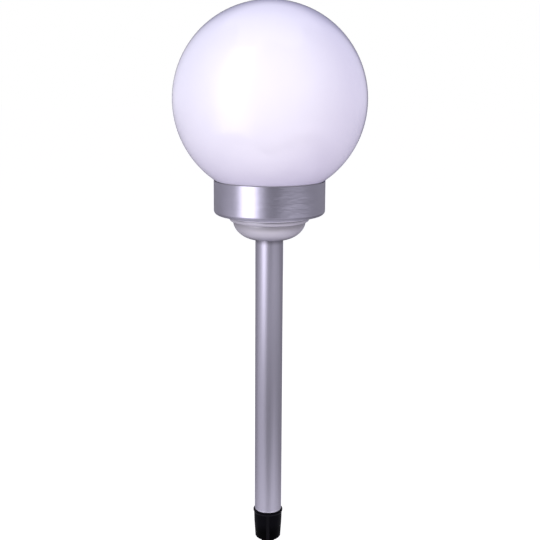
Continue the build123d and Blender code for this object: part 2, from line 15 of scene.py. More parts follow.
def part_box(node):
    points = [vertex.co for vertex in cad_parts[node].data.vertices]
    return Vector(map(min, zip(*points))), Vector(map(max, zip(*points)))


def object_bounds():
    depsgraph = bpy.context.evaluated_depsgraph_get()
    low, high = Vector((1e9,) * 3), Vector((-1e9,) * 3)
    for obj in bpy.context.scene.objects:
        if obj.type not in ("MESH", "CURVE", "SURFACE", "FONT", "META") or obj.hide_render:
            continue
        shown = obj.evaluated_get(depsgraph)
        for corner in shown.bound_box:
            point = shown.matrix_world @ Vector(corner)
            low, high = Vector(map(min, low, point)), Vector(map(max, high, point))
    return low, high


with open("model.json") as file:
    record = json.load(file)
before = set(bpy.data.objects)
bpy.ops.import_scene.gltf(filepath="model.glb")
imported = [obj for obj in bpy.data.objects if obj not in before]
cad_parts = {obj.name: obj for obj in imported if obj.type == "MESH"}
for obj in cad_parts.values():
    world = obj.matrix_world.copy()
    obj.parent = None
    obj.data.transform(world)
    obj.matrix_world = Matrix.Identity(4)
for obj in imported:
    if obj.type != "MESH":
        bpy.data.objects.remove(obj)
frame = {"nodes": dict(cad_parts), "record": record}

cad_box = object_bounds()
nodes = frame["nodes"]
scene = bpy.context.scene
scene.view_settings.view_transform = "Standard"
print("pieces from the packed model:", len(nodes))

# %% [markdown]
# The camera stands a good metre in front of the ball, a little above its middle, and looks down along
# the pole. One could aim it by a constraint, but a written place and tilt say plainly where it stands,
# and the small roll gives the pole the slight lean that it has in the picture.

# %% Camera
LENS_MM = 67.85
CAMERA_BACK = 1.0553
CAMERA_RISE = 0.0451
CAMERA_TILT = radians(11.94)
CAMERA_ROLL = radians(0.3)
CAMERA_PAN = radians(-0.05)

ball_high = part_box("globe_shade")[1]
ball_radius = ball_high.x
ball_middle = Vector((0, 0, ball_high.z - ball_radius))
lens = bpy.data.cameras.new("camera")
lens.lens = LENS_MM
camera = bpy.data.objects.new("camera", lens)
camera.matrix_world = (
    Matrix.Translation(ball_middle + Vector((0, -CAMERA_BACK, CAMERA_RISE)))
    @ Matrix.Rotation(CAMERA_PAN, 4, "Z")
    @ Matrix.Rotation(pi / 2 - CAMERA_TILT, 4, "X")
    @ Matrix.Rotation(CAMERA_ROLL, 4, "Z")
)
scene.collection.objects.link(camera)
scene.camera = camera
print("camera height above the soil:", round(camera.location.z, 3))

# %% [markdown]
# The floor and the studio's cards are the only surfaces made here. Each is a grid of points, worked out as
# one array from two parameters. A small helper turns such a grid into a mesh, so that each surface below
# only has to give its formula.

# %% A mesh from a grid of points


def grid_quads(rows, columns):
    """Corner numbers of the quad between each four neighbours, with the points counted row by row."""
    numbers = np.arange(rows * columns).reshape(rows, columns)
    corners = (numbers[:-1, :-1], numbers[:-1, 1:], numbers[1:, 1:], numbers[1:, :-1])
    return np.stack(corners, axis=-1).reshape(-1, 4)


def surface(name, points):
    """Mesh object from an array of shape (rows, columns, 3)."""
    mesh = bpy.data.meshes.new(name)
    mesh.from_pydata(points.reshape(-1, 3).tolist(), [], grid_quads(*points.shape[:2]).tolist())
    mesh.shade_smooth()
    piece = bpy.data.objects.new(name, mesh)
    scene.collection.objects.link(piece)
    return piece


print("quads in a grid of 3 by 4 points:", len(grid_quads(3, 4)))

# %% [markdown]
# Shaders are built from nodes, and a few helpers keep that readable. The first feeds a socket with a value
# or with another node's output, the second adds a node and the third does arithmetic. A surface that only
# glows starts from an empty tree.

# %% Helpers: nodes


def feed(tree, socket, value):
    """Give an input socket a plain value, or link it to the output of another node."""
    if isinstance(value, bpy.types.NodeSocket):
        tree.links.new(value, socket)
    else:
        socket.default_value = value


def add_node(tree, kind, sockets=(), **properties):
    """Add a shader node, set its properties and feed its sockets, given by name or by number."""
    node = tree.nodes.new("ShaderNode" + kind)
    for name, value in properties.items():
        setattr(node, name, value)
    for key, value in dict(sockets).items():
        feed(tree, node.inputs[key], value)
    return node


def calculate(tree, operation, first, second=0.0):
    """Output of one Math node."""
    return add_node(tree, "Math", {0: first, 1: second}, operation=operation).outputs[0]


def empty_material(name):
    """Start a material with no nodes at all."""
    material = bpy.data.materials.new(name)
    material.use_nodes = True
    material.node_tree.nodes.clear()
    return material, material.node_tree


print("helpers: feed, add_node, calculate, empty_material")

# %% [markdown]
# The studio's floor is white to the camera and in reflections, while the light that it throws on the
# object stays at a plain level. The Light Path node tells these rays apart. About a quarter of the floor's
# white is real light, so the object's soft shadow stays on it.

# %% Floor
FLOOR_REACH = 12.0
FLOOR_PAINT = (0.57, 0.525, 0.61, 1)
FLOOR_SHARE = 0.72
FLOOR_GLOW = (1.0, 1.0, 0.98, 1)
FLOOR_STRENGTH = 1.32


def seen_directly(tree):
    """1 for rays from the camera, from a reflection or through glass, and 0 for diffuse light."""
    path = add_node(tree, "LightPath").outputs
    camera_or_mirror = calculate(tree, "MAXIMUM", path["Is Camera Ray"], path["Is Glossy Ray"])
    return calculate(tree, "MAXIMUM", camera_or_mirror, path["Is Transmission Ray"])


def studio_floor(level):
    """Square floor at the given height: paint for diffuse light, and mostly white glow where it is seen."""
    reach = np.array([-FLOOR_REACH, FLOOR_REACH])
    across, along = np.meshgrid(reach, reach)
    floor = surface("floor", np.stack([across, along, np.full_like(across, level)], axis=-1))
    material, tree = empty_material("floor_white")
    paint = add_node(tree, "BsdfDiffuse", {"Color": FLOOR_PAINT})
    white = add_node(tree, "Emission", {"Color": FLOOR_GLOW, "Strength": FLOOR_STRENGTH})
    share = calculate(tree, "MULTIPLY", seen_directly(tree), FLOOR_SHARE)
    mixed = add_node(tree, "MixShader", {0: share, 1: paint.outputs[0], 2: white.outputs[0]})
    add_node(tree, "OutputMaterial", {"Surface": mixed.outputs[0]})
    floor.data.materials.append(material)
    return floor


floor = studio_floor(cad_box[0].z)
print(floor.name, "at", round(cad_box[0].z, 3))

# %% [markdown]
# The world is split the same way: plain white where it is seen, and a soft lavender light everywhere else,
# which gives the ball's shaded side its tint.

# %% World
AMBIENT = (0.322, 0.319, 0.613, 1)
WHITE = (1, 1, 1, 1)


def studio_world():
    """White for rays that see the world, and the ambient colour for diffuse light."""
    world = bpy.data.worlds.new("studio")
    scene.world = world
    world.use_nodes = True
    tree = world.node_tree
    tree.nodes.clear()
    light = add_node(tree, "Background", {"Color": AMBIENT, "Strength": 1.0})
    white = add_node(tree, "Background", {"Color": WHITE, "Strength": 1.0})
    sockets = {0: seen_directly(tree), 1: light.outputs[0], 2: white.outputs[0]}
    mixed = add_node(tree, "MixShader", sockets)
    add_node(tree, "OutputWorld", {"Surface": mixed.outputs[0]})
    return world


world = studio_world()
print("world:", world.name)

# %% [markdown]
# Metal is only as good as what it mirrors. A ring of cards round the object stands for the studio. One
# could hang up many lamps, but one ring whose brightness is a formula of angle and height is easier to
# read and tune. Only reflections see it, so it neither lights the object nor shows in the picture. The
# formula is put together from three soft shapes: a bell, a step, and a patch at one angle and height.

# %% Soft shapes for the cards


def angle_from(angle, middle):
    """Smallest difference between two angles, in degrees, always between -180 and 180."""
    return (angle - middle + 180) % 360 - 180


def bell(value, half):
    """Bell curve: 1 at zero, and about a third at half a width away."""
    return np.exp(-((value / half) ** 2))


def step(value, edge):
    """Smooth step from 0 to 1 as the value passes zero, over about four times the edge."""
    return 0.5 + 0.5 * np.tanh(value / edge)


def patch(angle, height, strength, middle, half, level, reach):
    """Soft patch: strongest at the middle angle and the level, a bell of half width and reach round it."""
    return strength * bell(angle_from(angle, middle), half) * bell(height - level, reach)


print("bell at 0, 1 and 2 half widths:", np.round(bell(np.arange(3), 1), 3))
print("step at -1, 0 and 1 edges:", np.round(step(np.arange(-1, 2), 1), 3))

# %% [markdown]
# Grey walls come first. Angles are in degrees from the camera's side, positive to the right. The walls are
# darker in front close to the floor, and where the camera stands. A tall soft box at the front left draws
# the bright stripe down band and pole; near the floor it leans outwards, as the stripe does. Two paler
# patches, one on each side, lift the rest of the pole.

# %% Walls, soft box and side patches
WALL = 0.346
LOW_SHADE = {"strength": 0.8, "middle": 0.0, "half": 49.0, "level": -0.032, "reach": 0.091}
CAMERA_SHADE = 0.28
CAMERA_SHADE_ANGLE = 9.0
CAMERA_SHADE_HALF = 15.0
CAMERA_SHADE_FOOT = 0.29
CAMERA_SHADE_EDGE = 0.04
BOX_ANGLE = -41.2
BOX_HALF = 17.8
BOX_EDGE = 9.0
BOX_GLOW = 2.3
BOX_FOOT = 0.083
BOX_FOOT_EDGE = 0.035
BOX_LEAN = 29.0
BOX_LEAN_BELOW = 0.25
RIGHT_PATCH = {"strength": 0.74, "middle": 47.0, "half": 41.0, "level": 0.178, "reach": 0.078}
LEFT_PATCH = {"strength": 0.4, "middle": -83.0, "half": 24.0, "level": 0.09, "reach": 0.27}


def wall_brightness(angle, height):
    """Even grey, times what the low shade leaves, times what the camera's shade leaves."""
    camera_shade = CAMERA_SHADE * bell(angle - CAMERA_SHADE_ANGLE, CAMERA_SHADE_HALF)
    camera_shade = camera_shade * step(height - CAMERA_SHADE_FOOT, CAMERA_SHADE_EDGE)
    return WALL * (1 - patch(angle, height, **LOW_SHADE)) * (1 - camera_shade)


def box_brightness(angle, height):
    """Step down on both sides of the box's angle, which leans below a height, times a step at its foot."""
    lean = BOX_LEAN * np.clip(BOX_LEAN_BELOW - height, 0, None)
    box = BOX_GLOW * step(BOX_HALF - np.abs(angle_from(angle, BOX_ANGLE - lean)), BOX_EDGE)
    return box * step(height - BOX_FOOT, BOX_FOOT_EDGE)


print("wall beside the ball:", round(float(wall_brightness(BOX_ANGLE, ball_middle.z)), 3))
print("soft box beside the ball:", round(float(box_brightness(BOX_ANGLE, ball_middle.z)), 3))

# %% [markdown]
# At their edges, ball and pole mirror what stands behind them. Black flags there draw the dark edges: a soft
# one behind the pole, and a firm one behind the ball that leaves a thin line round it. It is wider to the
# right, where the line is broader. Pale cards beside and above it keep the ball light inside that line.

# %% Flags and cards behind the ball
FLAG_HALF = 23.0
BALL_FLAG_LEFT = 26.0
BALL_FLAG_RIGHT = 35.0
BALL_FLAG_EDGE = 4.0
BALL_FLAG_FOOT = 0.38
BALL_FLAG_TOP = 0.9
BALL_FLAG_TOP_EDGE = 0.04
BALL_CARD_ANGLE = 125.0
BALL_CARD_HALF = 22.0
BALL_CARD_LEFT = 0.4
BALL_CARD_RIGHT = 0.3
BALL_CARD_FOOT = 0.42
BALL_CARD_FOOT_EDGE = 0.03
CROWN_GLOW = 0.45
CROWN_FOOT = 1.02
CROWN_FOOT_EDGE = 0.04
CROWN_FROM = 120.0
CROWN_EDGE = 10.0


def ball_cards(angle, height):
    """A bell of light on each side above the ball's foot, plus a crown above the ball, all behind it."""
    cards = np.where(angle < 0, BALL_CARD_LEFT, BALL_CARD_RIGHT)
    cards = cards * bell(np.abs(angle) - BALL_CARD_ANGLE, BALL_CARD_HALF)
    cards = cards * step(height - BALL_CARD_FOOT, BALL_CARD_FOOT_EDGE)
    crown = CROWN_GLOW * step(height - CROWN_FOOT, CROWN_FOOT_EDGE)
    return cards + crown * step(np.abs(angle) - CROWN_FROM, CROWN_EDGE)


def flags(angle, height):
    """1 where a flag is black: a bell behind the pole, and a flat flag with firm edges behind the ball."""
    behind = np.abs(angle_from(angle, 180))
    half = np.where(angle < 0, BALL_FLAG_LEFT, BALL_FLAG_RIGHT)
    ball_flag = step(half - behind, BALL_FLAG_EDGE) * step(BALL_FLAG_TOP - height, BALL_FLAG_TOP_EDGE)
    return np.where(height < BALL_FLAG_FOOT, bell(behind, FLAG_HALF), ball_flag)


def card_brightness(angle, height):
    """Sum of walls, patches, cards and soft box, times what the flags leave."""
    patches = patch(angle, height, **RIGHT_PATCH) + patch(angle, height, **LEFT_PATCH)
    light = wall_brightness(angle, height) + patches + ball_cards(angle, height)
    return (light + box_brightness(angle, height)) * (1 - flags(angle, height))


print("left card beside the ball:", round(float(card_brightness(-BALL_CARD_ANGLE, ball_middle.z)), 3))
print("flag behind the ball:", round(float(card_brightness(180, ball_middle.z)), 3))

# %% [markdown]
# The ring itself is a cylinder, drawn in towards the pole in front and behind, because a near card changes
# faster along the pole. Each point holds its brightness in a colour attribute, which one plain glowing
# material reads, and the ring is hidden from every ray but reflections.

# %% Ring of cards
RING_RADIUS = 0.7
RING_TOP = 1.5
RING_COLUMNS = 181
RING_ROWS = 60
FRONT_DENT = 0.32
FRONT_DENT_ANGLE = 2.0
FRONT_DENT_HALF = 30.0
BACK_DENT = 0.22
BACK_DENT_FROM = 75.0
BACK_DENT_EDGE = 15.0
CARD_TINT = np.array([1.0, 0.975, 1.11])
HIDDEN_FROM = ("camera", "diffuse", "transmission", "volume_scatter", "shadow")


def card_material():
    """Plain light with the brightness that each card holds at its points."""
    material, tree = empty_material("card_glow")
    shade = add_node(tree, "Attribute", attribute_name="glow")
    light = add_node(tree, "Emission", {"Color": shade.outputs["Color"], "Strength": 1.0})
    add_node(tree, "OutputMaterial", {"Surface": light.outputs[0]})
    material.cycles.emission_sampling = "NONE"
    return material


def glow_card(name, angle, radius, height, brightness, material):
    """Card with points at an angle, a radius and a height, and a brightness that only reflections see."""
    turn = np.radians(angle)
    card = surface(name, np.stack([radius * np.sin(turn), -radius * np.cos(turn), height], axis=-1))
    glow = brightness[..., None] * CARD_TINT
    colours = np.concatenate([glow, np.ones_like(glow[..., :1])], axis=-1)
    attribute = card.data.color_attributes.new("glow", "FLOAT_COLOR", "POINT")
    attribute.data.foreach_set("color", colours.ravel())
    card.data.materials.append(material)
    for kind in HIDDEN_FROM:
        setattr(card, "visible_" + kind, False)
    return card


def card_ring(foot, material):
    """Cylinder round the pole, less a bell-shaped dent in front and a step inwards behind."""
    angles, heights = np.linspace(-180, 180, RING_COLUMNS), np.linspace(foot, RING_TOP, RING_ROWS)
    angle, height = np.meshgrid(angles, heights)
    radius = RING_RADIUS - FRONT_DENT * bell(angle_from(angle, FRONT_DENT_ANGLE), FRONT_DENT_HALF)
    radius = radius - BACK_DENT * step(np.abs(angle) - BACK_DENT_FROM, BACK_DENT_EDGE)
    return glow_card("card_ring", angle, radius, height, card_brightness(angle, height), material)


card_glow = card_material()
ring = card_ring(cad_box[0].z, card_glow)
print("ring faces:", len(ring.data.polygons))

# %% [markdown]
# Downward faces, such as the cup's bowl, mirror the floor. A disc just above the visible floor gives them
# one that is dimmer behind than in front, with an arc of light before the foot of the pole.

# %% Floor card
FLOOR_CARD_LIFT = 0.002
FLOOR_CARD_COLUMNS = 91
FLOOR_CARD_ROWS = 40
FLOOR_FRONT = 0.92
FLOOR_BACK = 0.45
POOL_GLOW = 0.4
POOL_RADIUS = 0.34
POOL_REACH = 0.13


def floor_brightness(angle, radius):
    """From the back value to the front one as the cosine of the angle rises, plus a bell at one radius."""
    front = 0.5 + 0.5 * np.cos(np.radians(angle))
    arc = POOL_GLOW * bell(radius - POOL_RADIUS, POOL_REACH)
    return FLOOR_BACK + (FLOOR_FRONT - FLOOR_BACK + arc) * front


def floor_card(foot, material):
    """Disc round the pole's axis, a little above the visible floor."""
    angles = np.linspace(-180, 180, FLOOR_CARD_COLUMNS)
    angle, radius = np.meshgrid(angles, np.linspace(0.0, RING_RADIUS, FLOOR_CARD_ROWS))
    height = np.full_like(radius, foot + FLOOR_CARD_LIFT)
    return glow_card("floor_card", angle, radius, height, floor_brightness(angle, radius), material)


disc = floor_card(cad_box[0].z, card_glow)
print("floor card faces:", len(disc.data.polygons))

# %% [markdown]
# Three lamps model the ball. The key is a large soft lamp to the left of the camera, a little above the
# ball, so the ball is brightest left of its middle. A weaker fill stands to the right at the same height,
# and a third stands behind, so that the ball is as white from the back. All are hidden from reflections,
# where the cards do the work.

# %% Lamps
LAMP_DISTANCE = 2.0
LAMP_RISE = 15.0
KEY_ANGLE = -45.0
KEY_SIZE = 0.9
KEY_WATTS = 26.6
KEY_COLOUR = (0.975, 0.975, 0.747)
FILL_ANGLE = 40.0
FILL_SIZE = 0.9
FILL_WATTS = 20.0
FILL_COLOUR = (0.98, 0.945, 0.697)
BACK_ANGLE = 178.0
BACK_SIZE = 1.4
BACK_WATTS = 27.0


def soft_lamp(name, angle, size, watts, colour):
    """Square area lamp that faces the ball's middle, from an angle to the right and the shared rise."""
    turn, lift = radians(angle), radians(LAMP_RISE)
    away = Vector((sin(turn) * cos(lift), -cos(turn) * cos(lift), sin(lift)))
    light = bpy.data.lights.new(name, "AREA")
    light.size = size
    light.energy = watts
    light.color = colour
    lamp = bpy.data.objects.new(name, light)
    lamp.location = ball_middle + LAMP_DISTANCE * away
    lamp.rotation_mode = "QUATERNION"
    lamp.rotation_quaternion = (-away).to_track_quat("-Z", "Y")
    lamp.visible_glossy = False
    scene.collection.objects.link(lamp)
    return lamp


key = soft_lamp("key", KEY_ANGLE, KEY_SIZE, KEY_WATTS, KEY_COLOUR)
fill = soft_lamp("fill", FILL_ANGLE, FILL_SIZE, FILL_WATTS, FILL_COLOUR)
back = soft_lamp("back", BACK_ANGLE, BACK_SIZE, BACK_WATTS, FILL_COLOUR)
print("lamps:", key.name, fill.name, back.name)

# %% [markdown]
# Effects that several finishes share are node groups, built once and placed in each material with its own
# values. These helpers start a group, place it, read the place on a piece in the object's own frame, and
# change a value's range.

# %% Helpers: node groups


def new_group(name, inputs, outputs):
    """Start a shader node group of plain numbers; returns it with its inside inputs and outputs."""
    group = bpy.data.node_groups.new(name, "ShaderNodeTree")
    for socket, value in inputs.items():
        made = group.interface.new_socket(socket, in_out="INPUT", socket_type="NodeSocketFloat")
        made.default_value = value
    for socket in outputs:
        group.interface.new_socket(socket, in_out="OUTPUT", socket_type="NodeSocketFloat")
    inside = group.nodes.new("NodeGroupInput").outputs
    outside = group.nodes.new("NodeGroupOutput").inputs
    return group, inside, outside


def place_group(tree, group, **values):
    """Place a group in a material with its own values; returns its outputs."""
    node = tree.nodes.new("ShaderNodeGroup")
    node.node_tree = group
    for socket, value in values.items():
        feed(tree, node.inputs[socket], value)
    return node.outputs


def object_point(tree):
    """Place on the piece, in metres in the object's own frame."""
    return add_node(tree, "TexCoord").outputs["Object"]


def coordinates(tree):
    """X, Y and Z of the place on the piece, in metres."""
    return add_node(tree, "SeparateXYZ", {0: object_point(tree)}).outputs


def spread(tree, value, low, high, start=0.0, end=1.0, kind="LINEAR"):
    """Map a value from the range start..end to low..high, clamped at both ends."""
    sockets = {"Value": value, "From Min": start, "From Max": end, "To Min": low, "To Max": high}
    return add_node(tree, "MapRange", sockets, interpolation_type=kind).outputs["Result"]


print("helpers: new_group, place_group, object_point, coordinates, spread")

# %% [markdown]
# Brushed lines come from noise stretched along one direction: a small scale round the axis and a large one
# up it draws lines round a band, and the other way about draws lines along a tube. The same noise at a
# wider scale gives broad, uneven streaks.

# %% Shared effect: brushed lines
FINE_DETAIL = 4.0
BROAD_DETAIL = 2.0
BROAD_ACROSS = 0.7
BROAD_UP = 0.14
LINE_ROUGHNESS = 0.6


def stretched_noise(tree, across, up, detail):
    """Noise with one scale round the axis and another up it, per metre."""
    scale = add_node(tree, "CombineXYZ", {0: across, 1: across, 2: up}).outputs[0]
    point = add_node(tree, "VectorMath", {0: object_point(tree), 1: scale}, operation="MULTIPLY")
    sockets = {"Vector": point.outputs[0], "Scale": 1.0, "Detail": detail, "Roughness": LINE_ROUGHNESS}
    return add_node(tree, "TexNoise", sockets).outputs[0]


def brushed_lines_group():
    """Fine lines at the given scales, and broad streaks at a share of each scale."""
    group, inside, outside = new_group("brushed_lines", {"Across": 20.0, "Up": 1500.0}, ["Fine", "Broad"])
    feed(group, outside["Fine"], stretched_noise(group, inside["Across"], inside["Up"], FINE_DETAIL))
    wide_across = calculate(group, "MULTIPLY", inside["Across"], BROAD_ACROSS)
    wide_up = calculate(group, "MULTIPLY", inside["Up"], BROAD_UP)
    feed(group, outside["Broad"], stretched_noise(group, wide_across, wide_up, BROAD_DETAIL))
    return group


brushed_lines = brushed_lines_group()
print("group:", brushed_lines.name)

# %% [markdown]
# Plastic is never quite even: the colour clouds a little, and the surface has the fine grain of its mould.
# Both are noise in the piece's own frame.

# %% Shared effects: cloud and grain
SPECK_DENSITY = 25.0
SPECK_FROM = 0.68
SPECK_FULL = 0.8


def cloud_group():
    """Slow clouds for colour, and small specks where a much finer noise is high."""
    group, inside, outside = new_group("cloud", {"Scale": 30.0}, ["Cloud", "Specks"])
    point = object_point(group)
    sockets = {"Vector": point, "Scale": inside["Scale"], "Detail": 3.0}
    feed(group, outside["Cloud"], add_node(group, "TexNoise", sockets).outputs[0])
    fine = calculate(group, "MULTIPLY", inside["Scale"], SPECK_DENSITY)
    specks = add_node(group, "TexNoise", {"Vector": point, "Scale": fine, "Detail": 1.0}).outputs[0]
    feed(group, outside["Specks"], spread(group, specks, 0.0, 1.0, SPECK_FROM, SPECK_FULL))
    return group


def grain_group():
    """Height of a moulded grain: rounded cells times noise."""
    group, inside, outside = new_group("moulded_grain", {"Scale": 1500.0}, ["Height"])
    sockets = {"Vector": object_point(group), "Scale": inside["Scale"]}
    cells = add_node(group, "TexVoronoi", sockets, feature="SMOOTH_F1").outputs["Distance"]
    noise = add_node(group, "TexNoise", {**sockets, "Detail": 2.0}).outputs[0]
    feed(group, outside["Height"], calculate(group, "MULTIPLY", cells, noise))
    return group


cloud = cloud_group()
moulded_grain = grain_group()
print("groups:", cloud.name, moulded_grain.name)

# %% [markdown]
# Some things change with height. One group gives a soft mask between two heights, as for the painted
# highlight on the pole's lower rim. Another gives a mask under a ledge, strongest at the ledge, which
# carries painted shade into corners.

# %% Shared effects: height and crease


def height_group():
    """Mask that goes from 0 at the first height to 1 at the second, in metres up the object."""
    group, inside, outside = new_group("height_mask", {"From": 0.0, "To": 1.0}, ["Mask"])
    height = coordinates(group)[2]
    mask = spread(group, height, 0.0, 1.0, inside["From"], inside["To"], "SMOOTHSTEP")
    feed(group, outside["Mask"], mask)
    return group


def crease_group():
    """Mask under a ledge, for painted shade and highlight: 1 at the ledge, 0 at some reach below it and
    above it.
    """
    group, inside, outside = new_group("crease", {"Ledge": 0.0, "Reach": 0.002}, ["Mask"])
    height = coordinates(group)[2]
    lowest = calculate(group, "SUBTRACT", inside["Ledge"], inside["Reach"])
    rise = spread(group, height, 0.0, 1.0, lowest, inside["Ledge"], "SMOOTHSTEP")
    below = calculate(group, "LESS_THAN", height, inside["Ledge"])
    feed(group, outside["Mask"], calculate(group, "MULTIPLY", rise, below))
    return group


height_mask = height_group()
crease = crease_group()
print("groups:", height_mask.name, crease.name)

# %% [markdown]
# The record names a finish for every piece, and each gets one material in the cells that follow. A finish
# starts as a Principled shader with its constant values set on the shader itself. Then colours are blended
# by masks, and a bump raises the surface. The blend goes by socket numbers, because the Mix node has
# sockets of the same names for plain numbers and vectors too.

# %% Helpers: finishes
MIX_FIRST = 6
MIX_SECOND = 7
MIX_RESULT = 2
finishes = {}


def new_material(name, **constants):
    """Start a material with one Principled shader, its constant sockets named with _ for a space."""
    material = bpy.data.materials.new(name)
    material.use_nodes = True
    shader = material.node_tree.nodes["Principled BSDF"]
    for socket, value in constants.items():
        shader.inputs[socket.replace("_", " ")].default_value = value
    return material, material.node_tree, shader.inputs


def blend_colours(tree, share, first, second):
    """Colour that goes from the first to the second as share goes from 0 to 1; each is RGB or a link."""
    node = add_node(tree, "Mix", {"Factor": share}, data_type="RGBA")
    for number, colour in ((MIX_FIRST, first), (MIX_SECOND, second)):
        linked = isinstance(colour, bpy.types.NodeSocket)
        feed(tree, node.inputs[number], colour if linked else (*colour, 1))
    return node.outputs[MIX_RESULT]


def bump(tree, inputs, height, depth):
    """Raise the surface by a height from 0 to 1 times depth, in metres, in the shading only."""
    sockets = {"Height": height, "Distance": depth, "Strength": 1.0}
    feed(tree, inputs["Normal"], add_node(tree, "Bump", sockets).outputs["Normal"])


print("helpers: new_material, blend_colours, bump")

# %% [markdown]
# The ball is moulded in opal plastic with a smooth skin. Its white is faintly clouded, as opal is. Seen
# head on it mirrors little, but towards its rim it mirrors the black flag behind, which draws a thin dark
# outline. So the gloss is high, and a very soft grain keeps it from looking like glass.

# %% Finish: opal ball
OPAL_DEEP = (0.83, 0.81, 0.92)
OPAL_PALE = (0.87, 0.855, 0.945)
OPAL_ROUGHNESS = (0.07, 0.11)
FAINT_DEPTH = 0.00001


def opal_ball():
    """Clouded white whose roughness follows the clouds, over a faint grain."""
    material, tree, inputs = new_material("opal_ball", IOR=1.49)
    clouds = place_group(tree, cloud, Scale=9.0)["Cloud"]
    feed(tree, inputs["Base Color"], blend_colours(tree, clouds, OPAL_DEEP, OPAL_PALE))
    feed(tree, inputs["Roughness"], spread(tree, clouds, *OPAL_ROUGHNESS))
    bump(tree, inputs, place_group(tree, moulded_grain, Scale=900.0)["Height"], FAINT_DEPTH)
    return material


finishes["opal_plastic"] = opal_ball()
print("finish:", finishes["opal_plastic"].name)

# %% [markdown]
# The band is drawn stainless steel, brushed round and round. The lines spread reflections up and down and
# keep them crisp from side to side, so the shader is anisotropic about the pole, and the same lines vary
# its colour, roughness and height. The streaks are deepest on the right half, where they break up what it
# mirrors. The brush doesn't reach the rolled lower edge, which is rougher, and painted shade darkens it.

# %% Finish: brushed band
BAND_DARK = (0.52, 0.505, 0.577)
BAND_LIGHT = (0.62, 0.604, 0.69)
BAND_ROUGHNESS = (0.26, 0.32)
# The rolled edge's darker tone is painted shade.
ROLLED_SHADE_TONE = (0.38, 0.368, 0.422)
ROLLED_ROUGHER = 0.2
ROLLED_LOW = 0.0009
ROLLED_TOP = 0.004
ROLLED_EDGE = 0.001
STREAK_DEPTH = 0.0006
STREAK_LEAST = 0.35
STREAK_FROM_X = -0.008
STREAK_FULL_X = 0.012


def rolled_edge(tree):
    """1 between two heights above the band's lower end, with a soft edge at both."""
    low, top = (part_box("steel_band")[0].z + rise for rise in (ROLLED_LOW, ROLLED_TOP))
    above = place_group(tree, height_mask, From=low, To=low + ROLLED_EDGE)["Mask"]
    below = place_group(tree, height_mask, From=top, To=top - ROLLED_EDGE)["Mask"]
    return calculate(tree, "MULTIPLY", above, below)


def brushed_band():
    """Steel toned by the lines, rougher with painted shade on the rolled edge, with streaks that grow along
    X.
    """
    material, tree, inputs = new_material(
        "brushed_band", Metallic=1.0, Anisotropic=0.55, Anisotropic_Rotation=0.25
    )
    lines = place_group(tree, brushed_lines, Across=60.0, Up=1000.0)
    tone = calculate(tree, "MULTIPLY", lines["Fine"], lines["Broad"])
    steel = blend_colours(tree, tone, BAND_DARK, BAND_LIGHT)
    rolled = rolled_edge(tree)
    # Painted shade: the rolled edge takes the darker tone.
    feed(tree, inputs["Base Color"], blend_colours(tree, rolled, steel, ROLLED_SHADE_TONE))
    gloss = spread(tree, lines["Fine"], *BAND_ROUGHNESS)
    rougher = calculate(tree, "MULTIPLY", rolled, ROLLED_ROUGHER)
    feed(tree, inputs["Roughness"], calculate(tree, "ADD", gloss, rougher))
    round_axis = add_node(tree, "Tangent", direction_type="RADIAL", axis="Z")
    feed(tree, inputs["Tangent"], round_axis.outputs[0])
    share = spread(tree, coordinates(tree)[0], STREAK_LEAST, 1.0, STREAK_FROM_X, STREAK_FULL_X)
    bump(tree, inputs, calculate(tree, "MULTIPLY", lines["Broad"], share), STREAK_DEPTH)
    return material


finishes["band_steel"] = brushed_band()
print("finish:", finishes["band_steel"].name)

# %% [markdown]
# The pole is a steel tube with a satin finish: faint draw lines run along it. Its lower rim is paler, a
# painted highlight, and painted shade darkens the corner under the cup.

# %% Finish: satin pole
POLE_DARK = (0.46, 0.445, 0.505)
POLE_LIGHT = (0.54, 0.525, 0.587)
POLE_ROUGHNESS = (0.32, 0.42)
# Painted highlight: the lower rim's pale tone.
RIM_HIGHLIGHT_TONE = (0.7, 0.68, 0.745)
RIM_HIGHLIGHT_TOP = 0.0027
RIM_HIGHLIGHT_FULL = 0.0012
# Painted shade: the dark tone on the pole just under the cup's mouth.
UNDER_CUP_SHADE_TONE = (0.24, 0.23, 0.26)
UNDER_CUP_SHADE_REACH = 0.0062


def satin_pole():
    """Steel toned by the draw lines, with a painted highlight on the lower rim and painted shade under the
    cup.
    """
    material, tree, inputs = new_material("satin_pole", Metallic=1.0)
    lines = place_group(tree, brushed_lines, Across=1100.0, Up=5.0)
    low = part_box("pole_tube")[0].z
    # Painted highlight on the lower rim.
    rim = place_group(tree, height_mask, From=low + RIM_HIGHLIGHT_TOP, To=low + RIM_HIGHLIGHT_FULL)["Mask"]
    # Painted shade just under the cup.
    under_cup_shade = place_group(tree, crease, Ledge=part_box("pole_holder")[0].z, Reach=UNDER_CUP_SHADE_REACH)["Mask"]
    colour = blend_colours(tree, lines["Broad"], POLE_DARK, POLE_LIGHT)
    colour = blend_colours(tree, rim, colour, RIM_HIGHLIGHT_TONE)
    feed(tree, inputs["Base Color"], blend_colours(tree, under_cup_shade, colour, UNDER_CUP_SHADE_TONE))
    feed(tree, inputs["Roughness"], spread(tree, lines["Fine"], *POLE_ROUGHNESS))
    bump(tree, inputs, lines["Fine"], FAINT_DEPTH)
    return material


finishes["pole_steel"] = satin_pole()
print("finish:", finishes["pole_steel"].name)

# %% [markdown]
# The stepped cup under the band is plastic with a silver lacquer: fine metal flakes in a soft gloss, under
# a clear coat that darkens its outline. Painted shade darkens the corner under its step and the groove under
# the band, a soft line along each. The narrow shoulder above the groove is paler, a painted highlight, and
# painted shade darkens the lacquer towards the mouth, where the pole goes in.

# %% Finish: silver lacquer
LACQUER_TONE = (0.635, 0.615, 0.66)
FLAKE_TONE = (0.7, 0.68, 0.73)
LACQUER_ROUGHNESS = (0.5, 0.58)
